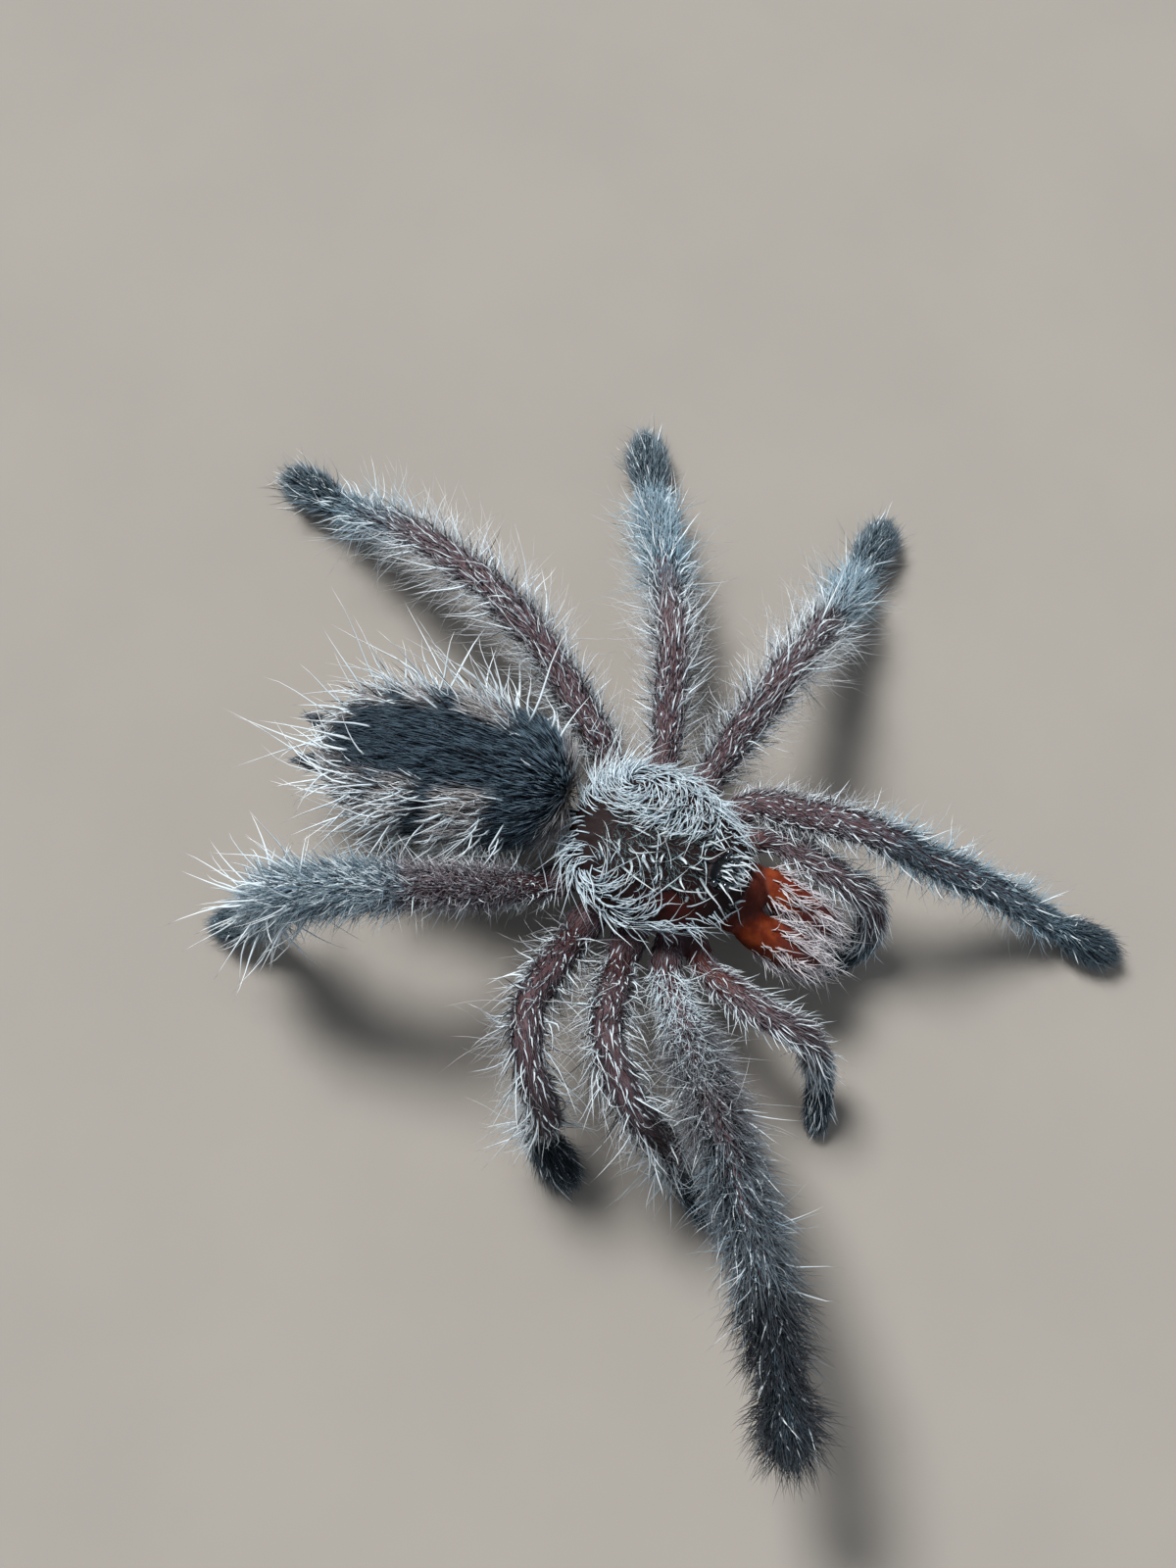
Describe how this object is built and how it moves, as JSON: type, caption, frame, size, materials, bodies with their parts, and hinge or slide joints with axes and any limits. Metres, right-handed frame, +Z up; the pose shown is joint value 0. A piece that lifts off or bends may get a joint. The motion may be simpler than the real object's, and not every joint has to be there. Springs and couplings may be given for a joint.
{
  "type": "pink toe tarantula, young, still model",
  "caption": "Life-size still model of a young pink toe tarantula, standing on its feet with the right front leg raised.",
  "frame": {"origin": "on the floor, under the middle of the whole model's box", "axes": "-Y towards the head, +X towards the animal's left side, +Z up; the soles lie at z = 0"},
  "size_m": [0.0488, 0.0512, 0.0132],
  "materials": {
    "carapace": "dark purple-brown cuticle under curling white hair",
    "abdomen": "blue-black velvet with pale hairy patches and long white bristles",
    "leg": "purple-brown cuticle with grey-blue down and white hair",
    "foot": "dense blue-black brush hair",
    "jaw": "glossy red-brown cuticle with rows of white hair",
    "fang": "polished black fang",
    "eye": "black glassy lens"
  },
  "bodies": {
    "root": {"abdomen": "abdomen", "carapace": "carapace", "chelicera_left": "jaw", "chelicera_right": "jaw", "eye_front_middle_left": "eye", "eye_front_middle_right": "eye", "eye_front_side_left": "eye", "eye_front_side_right": "eye", "eye_rear_middle_left": "eye", "eye_rear_middle_right": "eye", "eye_rear_side_left": "eye", "eye_rear_side_right": "eye", "eye_turret": "carapace", "fang_left": "fang", "fang_right": "fang", "leg_left_1_femur": "leg", "leg_left_1_foot": "foot", "leg_left_1_tibia": "leg", "leg_left_2_femur": "leg", "leg_left_2_foot": "foot", "leg_left_2_tibia": "leg", "leg_left_3_femur": "leg", "leg_left_3_foot": "foot", "leg_left_3_tibia": "leg", "leg_left_4_femur": "leg", "leg_left_4_foot": "foot", "leg_left_4_tibia": "leg", "leg_right_1_femur": "leg", "leg_right_1_foot": "foot", "leg_right_1_tibia": "leg", "leg_right_2_femur": "leg", "leg_right_2_foot": "foot", "leg_right_2_tibia": "leg", "leg_right_3_femur": "leg", "leg_right_3_foot": "foot", "leg_right_3_tibia": "leg", "leg_right_4_femur": "leg", "leg_right_4_foot": "foot", "leg_right_4_tibia": "leg", "palp_left_femur": "leg", "palp_left_foot": "foot", "palp_left_tibia": "leg", "palp_right_femur": "leg", "palp_right_foot": "foot", "palp_right_tibia": "leg", "pedicel": "leg", "spinneret_left": "leg", "spinneret_right": "leg", "sternum": "leg"}
  },
  "joints": []
}
